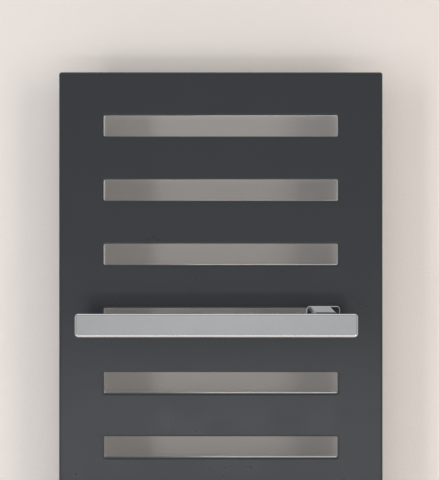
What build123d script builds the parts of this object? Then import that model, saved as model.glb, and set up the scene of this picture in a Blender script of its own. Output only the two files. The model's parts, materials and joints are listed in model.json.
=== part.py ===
"""Wall-hung panel towel radiator with a chrome towel rail and a 50 mm centre valve block.

Frame, in millimetres: X to the right and Z up as seen from the room, Y into the wall.
The wall plane is Y = 0 and the front faces -Y. The origin is the centre of the four wall
fixings, which is also the panel's mid height. Every piece is its own solid, and identical
small pieces share one node.
"""

import os
from math import cos, radians, sin

from build123d import *

OUT = "parts"
X, Y, Z = (1, 0, 0), (0, 1, 0), (0, 0, 1)
CLEAR = 0.1  # running clearance of a turned fit

# Front panel: one folded sheet with nine rolled slots
PANEL_WIDTH = 600.0
PANEL_HEIGHT = 1200.0
PANEL_FRONT = -90.0  # the front face stands 90 mm off the wall
SHEET = 1.5
PANEL_DEPTH = 13.0
PANEL_EDGE_RADIUS = 5.0
PANEL_CORNER_RADIUS = 5.5
SLOT_COUNT = 9
SLOT_WIDTH = 433.5
SLOT_HEIGHT = 39.0
BAND = 80.0
SLOT_LIP_DEPTH = 10.0
SLOT_LIP_RADIUS = 3.5
SLOT_CORNER_RADIUS = 3.0

# Water way: two collectors, ten flat tubes and a divided foot manifold
TUBE_HEIGHT = 70.0
TUBE_DEPTH = 11.0
TUBE_LENGTH = 570.0
TUBE_WALL = 1.5
COLLECTOR_WIDTH = 40.0
COLLECTOR_DEPTH = 30.0
COLLECTOR_WALL = 2.0
COLLECTOR_CORNER = 4.0
COLLECTOR_X = 258.0
COLLECTOR_HEIGHT = 1160.0
PORT_RADIUS = 10.0
CAP_THICKNESS = 3.0
MANIFOLD_HEIGHT = 30.0
MANIFOLD_WALL = 2.0

# Threads are plain cylinders at their major diameter
G12_RADIUS = 10.4
G12_SOCKET_RADIUS = 10.5
G34_RADIUS = 13.2
BUSH_RADIUS = 13.5

# Wall fixings
FIXING_Z = 450.0
SLEEVE_RADIUS = 13.0
SLEEVE_LENGTH = 38.0
SLEEVE_BASE = 5.0
SLEEVE_FOOT_RADIUS = 18.0
PIN_RADIUS = 8.0
PIN_REACH = 12.0  # the pin's free end stops this far from the wall
WALL_SCREW_HOLE_RADIUS = 4.25
GRUB_RADIUS = 3.0

# Towel rail, carried at one end only so that towels slide on from the other
RAIL_LENGTH = 500.0
RAIL_HEIGHT = 42.5
RAIL_THICKNESS = 10.0
RAIL_REACH = 80.0  # panel front to rail front
RAIL_X = -8.0
RAIL_DROP = 1.4  # the rail's centre hangs this much below the arm's
RAIL_SLOT = 3  # counted from the top, from 0
RAIL_EDGE_RADIUS = 4.0
RAIL_CORNER_RADIUS = 7.0
BRACKET_X = 189.0
FLANGE_WIDTH = 62.0
FLANGE_HEIGHT = 48.0
FLANGE_THICKNESS = 5.0
FLANGE_CORNER = 6.0
ARM_WIDTH = 38.0
ARM_HEIGHT = 36.0
ARM_WALL = 3.0
ARM_CORNER = 3.0
PAD_THICKNESS = 1.0
CLAMP_WIDTH = 54.0
CLAMP_HEIGHT = 44.0
CLAMP_THICKNESS = 4.0

# Valve block, hung under the middle of the panel
VALVE_PITCH = 50.0
BLOCK_WIDTH = 88.0
BLOCK_X = 1.0
BLOCK_FRONT, BLOCK_BACK = -82.5, -36.5
BLOCK_HEIGHT = 52.0
BALL_RADIUS = 9.5
BALL_BORE = 6.0
BALL_CHAMBER = 10.0
STEM_RADIUS = 4.0
STEM_HEAD_RADIUS = 6.5
STUB_END_Y = -22.0
VALVE_STROKE = 2.5  # the disc's whole travel, half each side of rest

# Planes that follow from the sizes above
PANEL_TOP = PANEL_HEIGHT / 2
PANEL_FOOT = -PANEL_HEIGHT / 2
PITCH = BAND + SLOT_HEIGHT
TUBE_FRONT = PANEL_FRONT + SHEET
TUBE_BACK = TUBE_FRONT + TUBE_DEPTH
COLLECTOR_BACK = TUBE_BACK + COLLECTOR_DEPTH
AXIS_Y = TUBE_BACK + COLLECTOR_DEPTH / 2  # the manifold, valve and thermostat share it
COLLECTOR_TOP = COLLECTOR_HEIGHT / 2
COLLECTOR_FOOT = -COLLECTOR_HEIGHT / 2
MANIFOLD_Z = COLLECTOR_FOOT + MANIFOLD_HEIGHT / 2
SOCKET_FOOT = PANEL_FOOT + 1
STUB_TOP = SOCKET_FOOT - 13
BLOCK_TOP = STUB_TOP - 14
BLOCK_FOOT = BLOCK_TOP - BLOCK_HEIGHT
BALL_Z = BLOCK_TOP - 14
PORT_Z = BLOCK_FOOT + 16
SUPPLY_X, RETURN_X = VALVE_PITCH / 2, -VALVE_PITCH / 2
BLOCK_RIGHT = BLOCK_X + BLOCK_WIDTH / 2
SEAT_X = SUPPLY_X + 10  # the face that the valve disc closes on


def slot_z(index):
    """Centre height of a slot, counted from the top."""
    return PANEL_TOP - BAND - SLOT_HEIGHT / 2 - PITCH * index


def block(x0, x1, y0, y1, z0, z1):
    """A box given by its two ends on each axis."""
    centre = ((x0 + x1) / 2, (y0 + y1) / 2, (z0 + z1) / 2)
    return Pos(*centre) * Box(abs(x1 - x0), abs(y1 - y0), abs(z1 - z0))


def rod(start, axis, length, radius):
    """A cylinder that runs from start along axis."""
    return extrude(Plane(origin=start, z_dir=axis) * Circle(radius), length)


def ring(start, axis, length, outer, inner):
    """A tube that runs from start along axis."""
    return rod(start, axis, length, outer) - rod(start, axis, length, inner)


def hexagon(start, axis, length, across_flats):
    """A hexagon bar that runs from start along axis."""
    outline = RegularPolygon(across_flats / 2, 6, major_radius=False)
    return extrude(Plane(origin=start, z_dir=axis) * outline, length)


def face_bar(x, z, y0, y1, width, height, corner):
    """A bar along Y with a rounded rectangular outline in X and Z."""
    low, high = min(y0, y1), max(y0, y1)
    plane = Plane(origin=(x, high, z), x_dir=X, z_dir=(0, -1, 0))
    return extrude(plane * RectangleRounded(width, height, corner), high - low)


def group(solids):
    """Several separate solids as one node."""
    return Compound(children=list(solids))


def save(name, shape):
    """Writes one node."""
    export_step(shape, os.path.join(OUT, name + ".step"))


# ---------------------------------------------------------------- radiator body


def folded_shell():
    """The sheet with its rounded outer edges and a return all round, before the slots."""
    back = PANEL_FRONT + PANEL_DEPTH
    shell = face_bar(0, 0, PANEL_FRONT, back, PANEL_WIDTH, PANEL_HEIGHT, PANEL_CORNER_RADIUS)
    shell = fillet(shell.faces().sort_by(Axis.Y)[0].edges(), PANEL_EDGE_RADIUS)
    width, height = PANEL_WIDTH - 2 * SHEET, PANEL_HEIGHT - 2 * SHEET
    inside = face_bar(0, 0, TUBE_FRONT, back, width, height, PANEL_CORNER_RADIUS - SHEET)
    return shell - fillet(inside.faces().sort_by(Axis.Y)[0].edges(), PANEL_EDGE_RADIUS - SHEET)


def front_panel():
    """The folded sheet with nine slots, whose edges are rolled back into a lip."""
    lip_end = PANEL_FRONT + SLOT_LIP_DEPTH
    lip_width, lip_height = SLOT_WIDTH + 2 * SHEET, SLOT_HEIGHT + 2 * SHEET
    lip_corner = SLOT_CORNER_RADIUS + SHEET
    panel = folded_shell()
    for index in range(SLOT_COUNT):
        z = slot_z(index)
        panel += face_bar(0, z, TUBE_FRONT, lip_end, lip_width, lip_height, lip_corner)
        panel -= face_bar(0, z, PANEL_FRONT, lip_end, SLOT_WIDTH, SLOT_HEIGHT, SLOT_CORNER_RADIUS)
    front = panel.faces().filter_by(Axis.Y).sort_by(Axis.Y)[0]
    slot_edges = [edge for wire in front.inner_wires() for edge in wire.edges()]
    panel = fillet(slot_edges, SLOT_LIP_RADIUS)
    back = [face for face in panel.faces().filter_by(Axis.Y) if abs(face.center().Y - TUBE_FRONT) < 0.01]
    lip_roots = [edge for face in back for wire in face.inner_wires() for edge in wire.edges()]
    return fillet(lip_roots, SLOT_LIP_RADIUS - SHEET)


def flat_tube(z):
    """A closed flat-oval tube with one round port into each collector."""
    outer_plane = Plane(origin=(-TUBE_LENGTH / 2, (TUBE_FRONT + TUBE_BACK) / 2, z), x_dir=Z, z_dir=X)
    inner_plane = outer_plane.offset(TUBE_WALL)
    outer = extrude(outer_plane * SlotOverall(TUBE_HEIGHT, TUBE_DEPTH), TUBE_LENGTH)
    inner_outline = SlotOverall(TUBE_HEIGHT - 2 * TUBE_WALL, TUBE_DEPTH - 2 * TUBE_WALL)
    tube = outer - extrude(inner_plane * inner_outline, TUBE_LENGTH - 2 * TUBE_WALL)
    for side in (-1, 1):
        port = (side * COLLECTOR_X, TUBE_BACK - TUBE_DEPTH / 2, z)
        tube -= rod(port, Y, TUBE_DEPTH, PORT_RADIUS)
    return tube


def tube_z(index):
    """Centre height of a flat tube: one behind each band, counted from the top."""
    return PANEL_TOP - BAND / 2 - PITCH * index


def collector(side):
    """An upright rectangular tube, ported to each flat tube and to the foot manifold."""
    x = side * COLLECTOR_X
    plane = Plane(origin=(x, AXIS_Y, COLLECTOR_FOOT), x_dir=X, z_dir=Z)
    outline = RectangleRounded(COLLECTOR_WIDTH, COLLECTOR_DEPTH, COLLECTOR_CORNER)
    inner_outline = RectangleRounded(
        COLLECTOR_WIDTH - 2 * COLLECTOR_WALL,
        COLLECTOR_DEPTH - 2 * COLLECTOR_WALL,
        COLLECTOR_CORNER - COLLECTOR_WALL,
    )
    tube = extrude(plane * outline, COLLECTOR_HEIGHT) - extrude(plane * inner_outline, COLLECTOR_HEIGHT)
    for index in range(SLOT_COUNT + 1):
        tube -= rod((x, TUBE_BACK - 1, tube_z(index)), Y, COLLECTOR_WALL + 2, PORT_RADIUS)
    inward = (-side, 0, 0)
    tube -= rod((x, AXIS_Y, MANIFOLD_Z), inward, COLLECTOR_WIDTH, PORT_RADIUS)
    return tube


def collector_cap(side, end_z, direction, bored):
    """The plate that closes a collector; the top ones carry a screwed bush."""
    x = side * COLLECTOR_X
    plane = Plane(origin=(x, AXIS_Y, end_z), x_dir=X, z_dir=(0, 0, direction))
    outline = RectangleRounded(COLLECTOR_WIDTH, COLLECTOR_DEPTH, COLLECTOR_CORNER)
    cap = extrude(plane * outline, CAP_THICKNESS)
    if bored:
        cap += rod((x, AXIS_Y, end_z), Z, CAP_THICKNESS + 7, BUSH_RADIUS)
        cap -= rod((x, AXIS_Y, end_z), Z, CAP_THICKNESS + 7, G12_SOCKET_RADIUS)
    return cap


def manifold():
    """The foot tube between the collectors, with a port at each end and two at its underside."""
    half = COLLECTOR_X - COLLECTOR_WIDTH / 2
    foot, head = COLLECTOR_FOOT, COLLECTOR_FOOT + MANIFOLD_HEIGHT
    tube = block(-half, half, TUBE_BACK, COLLECTOR_BACK, foot, head)
    tube = fillet(tube.edges().filter_by(Axis.X), COLLECTOR_CORNER)
    wall = MANIFOLD_WALL
    tube -= block(-half, half, TUBE_BACK + wall, COLLECTOR_BACK - wall, foot + wall, head - wall)
    for x in (RETURN_X, SUPPLY_X):
        tube -= rod((x, AXIS_Y, foot - 1), Z, wall + 2, G12_SOCKET_RADIUS)
    return tube


def flow_divider():
    """The plate that parts the manifold into a supply half and a return half."""
    wall = MANIFOLD_WALL
    low, high = COLLECTOR_FOOT + wall, COLLECTOR_FOOT + MANIFOLD_HEIGHT - wall
    return block(-1, 1, TUBE_BACK + wall, COLLECTOR_BACK - wall, low, high)


def socket(x):
    """A screwed bush welded under the manifold."""
    return ring((x, AXIS_Y, SOCKET_FOOT), Z, COLLECTOR_FOOT - SOCKET_FOOT, BUSH_RADIUS, G12_SOCKET_RADIUS)


def screwed_plug(x, bore_radius):
    """A G 1/2 plug with a hexagon head for a top bush, plain or bored for the vent screw."""
    seat = COLLECTOR_TOP + CAP_THICKNESS + 7
    plug = rod((x, AXIS_Y, seat - 9), Z, 10, G12_RADIUS) + hexagon((x, AXIS_Y, seat + 1), Z, 5, 22)
    if bore_radius:
        plug -= rod((x, AXIS_Y, seat - 5), Z, 12, bore_radius)
        plug -= rod((x, AXIS_Y, seat - 10), Z, 6, 1.5)
        plug -= rod((x, AXIS_Y, seat + 3.5), (0, 1, 0), 14, 1.0)
    return plug


def plug_seal(x):
    """The flat ring under a plug's head."""
    seat = COLLECTOR_TOP + CAP_THICKNESS + 7
    return ring((x, AXIS_Y, seat), Z, 1, 13, G12_SOCKET_RADIUS)


def vent_screw():
    """The slotted screw that lets air out, turned from above."""
    seat = COLLECTOR_TOP + CAP_THICKNESS + 7
    screw = rod((COLLECTOR_X, AXIS_Y, seat - 4.5), Z, 12, 3.4)
    slot_z0 = seat + 5.5
    return screw - block(COLLECTOR_X - 4, COLLECTOR_X + 4, AXIS_Y - 0.5, AXIS_Y + 0.5, slot_z0, slot_z0 + 3)


# ------------------------------------------------------------------ wall fixings


def fixing_places():
    """Where the four fixings stand."""
    return [(side * COLLECTOR_X, level * FIXING_Z) for side in (-1, 1) for level in (-1, 1)]


def wall_sleeve(x, z):
    """A turned cup screwed to the wall, with a grub screw hole underneath."""
    sleeve = rod((x, 0, z), (0, -1, 0), SLEEVE_LENGTH, SLEEVE_RADIUS)
    sleeve += rod((x, 0, z), (0, -1, 0), 3, SLEEVE_FOOT_RADIUS)
    sleeve -= rod((x, -SLEEVE_BASE, z), (0, -1, 0), SLEEVE_LENGTH, PIN_RADIUS + CLEAR)
    sleeve -= rod((x, 1, z), (0, -1, 0), SLEEVE_BASE + 2, WALL_SCREW_HOLE_RADIUS)
    sleeve -= rod((x, -25, z), (0, 0, -1), SLEEVE_RADIUS + 1, GRUB_RADIUS + 0.05)
    return sleeve


def bracket_pin(x, z):
    """A necked pin welded to the collector's back."""
    free_end = -PIN_REACH
    pin = rod((x, COLLECTOR_BACK, z), Y, free_end - COLLECTOR_BACK, PIN_RADIUS)
    pin -= ring((x, -30, z), Y, 10, PIN_RADIUS + 1, PIN_RADIUS - 2)
    return pin


def grub_screw(x, z):
    """The screw that locks a pin in its sleeve."""
    return rod((x, -25, z - PIN_RADIUS + 1.9), (0, 0, -1), 6.5, GRUB_RADIUS)


# -------------------------------------------------------------------- towel rail

RAIL_Z = slot_z(RAIL_SLOT)
RAIL_FRONT = PANEL_FRONT - RAIL_REACH
RAIL_BACK = RAIL_FRONT + RAIL_THICKNESS
FLANGE_BACK = PANEL_FRONT - PAD_THICKNESS
FLANGE_FRONT = FLANGE_BACK - FLANGE_THICKNESS
CLAMP_FRONT = PANEL_FRONT + SLOT_LIP_DEPTH
CLAMP_BACK = CLAMP_FRONT + CLAMP_THICKNESS
CLAMP_SCREW_OFFSET = 21.0
RAIL_SCREW_OFFSET = 9.0
BOSS_WIDTH, BOSS_HEIGHT = 50.0, 38.0


def towel_rail():
    """A flat bar with fully eased edges and two blind holes for its screws."""
    rail = face_bar(
        RAIL_X, RAIL_Z - RAIL_DROP, RAIL_FRONT, RAIL_BACK, RAIL_LENGTH, RAIL_HEIGHT, RAIL_CORNER_RADIUS
    )
    faces = rail.faces().filter_by(Axis.Y)
    rail = fillet([edge for face in faces for edge in face.edges()], RAIL_EDGE_RADIUS)
    for side in (-1, 1):
        hole = (BRACKET_X + side * RAIL_SCREW_OFFSET, RAIL_BACK, RAIL_Z)
        rail -= rod(hole, (0, -1, 0), 6, 2.6)
    return rail


def towel_bracket():
    """Flange, centring boss and hollow arm, cast in one."""
    flange = face_bar(
        BRACKET_X, RAIL_Z, FLANGE_FRONT, FLANGE_BACK, FLANGE_WIDTH, FLANGE_HEIGHT, FLANGE_CORNER
    )
    flange = fillet(flange.faces().sort_by(Axis.Y)[0].edges(), 1.5)
    boss = face_bar(BRACKET_X, RAIL_Z, FLANGE_BACK, PANEL_FRONT + 7, BOSS_WIDTH, BOSS_HEIGHT, 3.2)
    arm = face_bar(BRACKET_X, RAIL_Z, RAIL_BACK, FLANGE_BACK, ARM_WIDTH, ARM_HEIGHT, ARM_CORNER)
    hollow_width, hollow_height = ARM_WIDTH - 2 * ARM_WALL, ARM_HEIGHT - 2 * ARM_WALL
    hollow = face_bar(
        BRACKET_X, RAIL_Z, RAIL_BACK + 5, PANEL_FRONT + 7, hollow_width, hollow_height, 1.5
    )
    bracket = flange + boss + arm - hollow
    for side in (-1, 1):
        rail_hole = (BRACKET_X + side * RAIL_SCREW_OFFSET, RAIL_BACK - 1, RAIL_Z)
        bracket -= rod(rail_hole, Y, 7, 2.7)
        clamp_hole = (BRACKET_X + side * CLAMP_SCREW_OFFSET, PANEL_FRONT + 8, RAIL_Z)
        bracket -= rod(clamp_hole, (0, -1, 0), 11, 2.6)
    return bracket


def towel_pad():
    """A thin soft gasket between flange and panel."""
    pad = face_bar(BRACKET_X, RAIL_Z, FLANGE_BACK, PANEL_FRONT, FLANGE_WIDTH - 1, FLANGE_HEIGHT - 1, 5.5)
    return pad - face_bar(
        BRACKET_X, RAIL_Z, FLANGE_BACK, PANEL_FRONT, BOSS_WIDTH + 0.4, BOSS_HEIGHT + 0.4, 3.4
    )


def towel_clamp():
    """The plate that grips the slot's lips from behind."""
    clamp = face_bar(BRACKET_X, RAIL_Z, CLAMP_FRONT, CLAMP_BACK, CLAMP_WIDTH, CLAMP_HEIGHT, 3)
    for side in (-1, 1):
        hole = (BRACKET_X + side * CLAMP_SCREW_OFFSET, CLAMP_FRONT - 1, RAIL_Z)
        clamp -= rod(hole, Y, CLAMP_THICKNESS + 2, 2.7)
    return clamp - face_bar(BRACKET_X, RAIL_Z, CLAMP_FRONT, CLAMP_BACK, 20, 20, 3)


def cap_screw(head_face, axis, length, head_height, across_flats):
    """An M5 socket screw: its shank runs along axis from head_face, its head the other way."""
    back = tuple(-a for a in axis)
    screw = rod(head_face, axis, length, 2.5) + rod(head_face, back, head_height, 4.25)
    top = tuple(p + b * head_height for p, b in zip(head_face, back))
    return screw - hexagon(top, axis, head_height * 0.6, across_flats)


def clamp_screws():
    """Two screws that pull the clamp plate towards the flange."""
    places = [BRACKET_X + side * CLAMP_SCREW_OFFSET for side in (-1, 1)]
    return group(cap_screw((x, CLAMP_BACK, RAIL_Z), (0, -1, 0), 16.5, 5, 4) for x in places)


def rail_screws():
    """Two screws inside the hollow arm that hold the rail."""
    places = [BRACKET_X + side * RAIL_SCREW_OFFSET for side in (-1, 1)]
    return group(cap_screw((x, RAIL_BACK + 5, RAIL_Z), (0, -1, 0), 10, 5, 4) for x in places)


# ------------------------------------------------------------------- valve block

NUT_TOP = SOCKET_FOOT - 6
NUT_FOOT = BLOCK_TOP + 2
GLAND_Y = BLOCK_FRONT + 3  # floor of the recess that takes a stem's head
CHAMBER_FOOT = BALL_Z - 12
INSERT_BORE_RADIUS = 9.5
CROSS_Y = -46.0


def nipple(x):
    """The threaded tail that joins a socket to the valve's union nut."""
    top = SOCKET_FOOT + 14
    part = rod((x, AXIS_Y, SOCKET_FOOT), Z, 14, G12_RADIUS)
    part += hexagon((x, AXIS_Y, SOCKET_FOOT - 6), Z, 5, 24)
    part += rod((x, AXIS_Y, SOCKET_FOOT - 1), Z, 1, G12_RADIUS)
    part += rod((x, AXIS_Y, STUB_TOP), Z, SOCKET_FOOT - 6 - STUB_TOP, 8.5)
    part += rod((x, AXIS_Y, STUB_TOP), Z, 2.8, 12.8)
    return part - rod((x, AXIS_Y, STUB_TOP), Z, top - STUB_TOP, 6.5)


def nipple_seal(x):
    """The ring between a nipple's hexagon and its socket."""
    return ring((x, AXIS_Y, SOCKET_FOOT - 1), Z, 1, 12, G12_RADIUS + 0.05)


def union_nut(x):
    """A hexagon nut that pulls the nipple's flange onto the valve's stub."""
    nut = hexagon((x, AXIS_Y, NUT_FOOT), Z, NUT_TOP - NUT_FOOT, 30)
    nut -= rod((x, AXIS_Y, NUT_FOOT), Z, STUB_TOP + 3 - NUT_FOOT, G34_RADIUS + 0.1)
    nut = nut - rod((x, AXIS_Y, STUB_TOP), Z, 40, 8.6)
    bevel = Pos(x, AXIS_Y, NUT_TOP - 2) * Cone(17.6, 15.2, 4, align=(Align.CENTER,) * 3)
    lower = rod((x, AXIS_Y, NUT_FOOT), Z, NUT_TOP - 4 - NUT_FOOT, 20)
    return nut & (lower + bevel)


def valve_body():
    """The bored block with two union stubs on top, two pipe stubs behind and one insert port."""
    body = block(BLOCK_X - BLOCK_WIDTH / 2, BLOCK_RIGHT, BLOCK_FRONT, BLOCK_BACK, BLOCK_FOOT, BLOCK_TOP)
    body = fillet(body.edges(), 3)
    for x in (RETURN_X, SUPPLY_X):
        body += rod((x, AXIS_Y, BLOCK_TOP - 2), Z, STUB_TOP - BLOCK_TOP + 2, G34_RADIUS)
        body += rod((x, BLOCK_BACK - 2, PORT_Z), Y, STUB_END_Y - BLOCK_BACK + 2, G34_RADIUS)
    for x in (RETURN_X, SUPPLY_X):
        body -= rod((x, AXIS_Y, CHAMBER_FOOT), Z, STUB_TOP - CHAMBER_FOOT, BALL_CHAMBER)
        body -= rod((x, AXIS_Y, PORT_Z), Z, CHAMBER_FOOT - PORT_Z, BALL_BORE)
        body -= rod((x, AXIS_Y, BALL_Z), (0, -1, 0), 40, STEM_RADIUS + CLEAR)
        body -= rod((x, GLAND_Y, BALL_Z), (0, -1, 0), 10, STEM_HEAD_RADIUS + CLEAR)
    body -= rod((RETURN_X, AXIS_Y, PORT_Z), Y, 60, 7)
    body -= rod((RETURN_X, AXIS_Y, PORT_Z), (0, -1, 0), 7, 7)
    return body - supply_ways()


def supply_ways():
    """The bores on the thermostat's side: rear port, cross way, disc chamber, seat and outlet."""
    ways = rod((SUPPLY_X, -51, PORT_Z), Y, 40, 6.5)
    ways += rod((SUPPLY_X, CROSS_Y, PORT_Z), X, 15, 5)
    ways += rod((SEAT_X + 4.5, CROSS_Y, PORT_Z), (0, -1, 0), 14, 3.5)
    ways += rod((SEAT_X, AXIS_Y, PORT_Z), X, 20, INSERT_BORE_RADIUS)
    ways += rod((SEAT_X - 5, AXIS_Y, PORT_Z), X, 6, 5.5)
    ways += rod((SUPPLY_X - 7, AXIS_Y, PORT_Z), X, 13, 8)
    return ways


def seat_rings():
    """Four soft rings, one each side of both balls."""
    rings = []
    for x in (RETURN_X, SUPPLY_X):
        rings.append(ring((x, AXIS_Y, CHAMBER_FOOT), Z, 4.7, BALL_CHAMBER - 0.05, 6.2))
        rings.append(ring((x, AXIS_Y, BALL_Z + 7.3), Z, 4.7, BALL_CHAMBER - 0.05, 6.2))
    return group(rings)


def seat_retainers():
    """Two screwed rings that keep the upper seats down."""
    return group(
        ring((x, AXIS_Y, BALL_Z + 12), Z, 5, BALL_CHAMBER - 0.05, 6.5) for x in (RETURN_X, SUPPLY_X)
    )


def shutoff_ball(x):
    """A bored ball with a slot for its stem."""
    ball = Pos(x, AXIS_Y, BALL_Z) * Sphere(BALL_RADIUS)
    ball -= rod((x, AXIS_Y, BALL_Z - 12), Z, 24, BALL_BORE)
    slot_front, slot_back = AXIS_Y - BALL_RADIUS - 1, AXIS_Y - BALL_RADIUS + 2.4
    return ball - block(x - 12, x + 12, slot_front, slot_back, BALL_Z - 1.6, BALL_Z + 1.6)


def shutoff_stem(x):
    """The stem that turns a ball, with a screwdriver slot in its head."""
    shoulder = AXIS_Y - BALL_RADIUS
    stem = rod((x, shoulder, BALL_Z), (0, -1, 0), shoulder - GLAND_Y, STEM_RADIUS)
    tang = block(x - 3.6, x + 3.6, shoulder, shoulder + 2.3, BALL_Z - 1.5, BALL_Z + 1.5)
    head = rod((x, GLAND_Y, BALL_Z), (0, -1, 0), 3, STEM_HEAD_RADIUS)
    cut = block(x - 0.7, x + 0.7, BLOCK_FRONT - 1, BLOCK_FRONT + 1.5, BALL_Z - 8, BALL_Z + 8)
    return stem + tang + head - cut


# -------------------------------------------------------- thermostatic insert and head

INSERT_HEX = BLOCK_RIGHT
DISC_REST = SEAT_X + 0.1 + VALVE_STROKE / 2
PIN_END = INSERT_HEX + 19
ROD_END = PIN_END + 16
CAPSULE_END = ROD_END + 28
BASE_X = INSERT_HEX + 15.2
WHEEL_START = BASE_X + 11.3
WHEEL_LENGTH = 54.0
WHEEL_RADIUS = 23.0
WHEEL_WALL = 2.4
WHEEL_CAP = 2.5
FLUTE_COUNT = 20
FLUTE_RADIUS = 3.0
FLUTE_DEPTH = 0.9
CAP_INSIDE = WHEEL_START + WHEEL_LENGTH - WHEEL_CAP


def along_x(x0, x1, radius):
    """A cylinder on the thermostat's axis."""
    return rod((x0, AXIS_Y, PORT_Z), X, x1 - x0, radius)


def insert_body():
    """The brass insert: tail in the block, hexagon, threaded boss and gland bore."""
    body = along_x(INSERT_HEX - 3.5, INSERT_HEX, INSERT_BORE_RADIUS - 0.05)
    body += hexagon((INSERT_HEX, AXIS_Y, PORT_Z), X, 5, 27)
    body += along_x(INSERT_HEX + 5, INSERT_HEX + 15, 15)
    body -= along_x(INSERT_HEX - 4, INSERT_HEX + 4, 6.2)
    return body - along_x(INSERT_HEX, INSERT_HEX + 16, 2.6)


def coil_spring(start, end, turns, radius, wire):
    """A round-wire spring on the thermostat's axis."""
    length = end - start - wire
    path = Helix(length / turns, length, radius)
    section = Plane(origin=path @ 0, z_dir=path % 0) * Circle(wire / 2)
    coil = sweep(section, path=path, is_frenet=True)
    return Pos(start + wire / 2, AXIS_Y, PORT_Z) * Rot(0, 90, 0) * coil


def valve_pin():
    """The steel pin with the plate that backs the disc."""
    plate = DISC_REST + 2.5
    return along_x(plate, plate + 1.2, 6) + along_x(plate + 1.2, PIN_END, 2.5)


def valve_disc():
    """The rubber disc that closes the seat."""
    return along_x(DISC_REST, DISC_REST + 2.5, 7)


def gland_ring():
    """The O-ring on the pin, under the gland."""
    return ring((INSERT_HEX + 15.05, AXIS_Y, PORT_Z), X, 1.2, 6, 2.6)


def head_nut():
    """The knurled M30 nut that holds the thermostat on."""
    nut = along_x(INSERT_HEX + 6, INSERT_HEX + 19, 18)
    nut -= along_x(INSERT_HEX + 6, INSERT_HEX + 17.3, 15.1)
    return nut - along_x(INSERT_HEX + 17, INSERT_HEX + 20, 12.2)


def head_base():
    """The fixed carrier: clamped flange, neck, disc and the sleeve that guides the sensor."""
    base = along_x(INSERT_HEX + 15.2, INSERT_HEX + 17.2, 14.8) - along_x(BASE_X, BASE_X + 1.2, 6.4)
    base += along_x(INSERT_HEX + 17.2, INSERT_HEX + 22, 12)
    base += along_x(INSERT_HEX + 22, INSERT_HEX + 26, 20)
    base += along_x(INSERT_HEX + 26, INSERT_HEX + 56, 15)
    base -= along_x(INSERT_HEX + 29, INSERT_HEX + 57, 13)
    return base - along_x(BASE_X - 1, INSERT_HEX + 30, 4.2)


def scale_ring():
    """The fixed ring that carries the setting mark."""
    return along_x(INSERT_HEX + 21, INSERT_HEX + 26, 22.5) - along_x(INSERT_HEX + 20, INSERT_HEX + 27, 20.1)


def push_rod():
    """The rod between the sensor and the valve pin."""
    return along_x(PIN_END, ROD_END, 4)


def sensor_capsule():
    """The sealed liquid sensor."""
    return along_x(ROD_END, CAPSULE_END, 12.6)


def handwheel():
    """The hollow fluted grip, with an inner rib that runs on the fixed sleeve."""
    start, end = WHEEL_START, WHEEL_START + WHEEL_LENGTH
    bore = WHEEL_RADIUS - WHEEL_WALL
    wheel = fillet(along_x(start, end, WHEEL_RADIUS).edges().sort_by(Axis.X)[-1], 3)
    wheel -= along_x(start, CAP_INSIDE, bore)
    wheel += along_x(start + 3, start + 9, bore + 0.5) - along_x(start + 3, start + 9, 15 + CLEAR)
    for index in range(FLUTE_COUNT):
        angle = radians(360 / FLUTE_COUNT * index)
        reach = WHEEL_RADIUS + FLUTE_RADIUS - FLUTE_DEPTH
        place = (start + 8, AXIS_Y + reach * sin(angle), PORT_Z + reach * cos(angle))
        wheel -= rod(place, X, WHEEL_LENGTH, FLUTE_RADIUS)
    return wheel


# ------------------------------------------------------------------------- export


def save_body():
    """The welded water way and its front panel."""
    save("front_panel", front_panel())
    for index in range(SLOT_COUNT + 1):
        save(f"flat_tube_{index + 1:02d}", flat_tube(tube_z(index)))
    for name, side in (("left", -1), ("right", 1)):
        save(f"collector_{name}", collector(side))
        save(f"collector_cap_top_{name}", collector_cap(side, COLLECTOR_TOP, 1, True))
        save(f"collector_cap_foot_{name}", collector_cap(side, COLLECTOR_FOOT, -1, False))
    save("foot_manifold", manifold())
    save("flow_divider", flow_divider())
    save("supply_socket", socket(SUPPLY_X))
    save("return_socket", socket(RETURN_X))
    save("vent_plug", screwed_plug(COLLECTOR_X, 3.5))
    save("blanking_plug", screwed_plug(-COLLECTOR_X, 0))
    save("plug_seals", group(plug_seal(side * COLLECTOR_X) for side in (-1, 1)))
    save("vent_screw", vent_screw())


def save_fixings():
    """Wall fixings and the towel rail."""
    places = fixing_places()
    save("wall_sleeves", group(wall_sleeve(x, z) for x, z in places))
    save("bracket_pins", group(bracket_pin(x, z) for x, z in places))
    save("sleeve_grub_screws", group(grub_screw(x, z) for x, z in places))
    save("towel_rail", towel_rail())
    save("towel_bracket", towel_bracket())
    save("towel_pad", towel_pad())
    save("towel_clamp_plate", towel_clamp())
    save("towel_clamp_screws", clamp_screws())
    save("towel_rail_screws", rail_screws())


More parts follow.
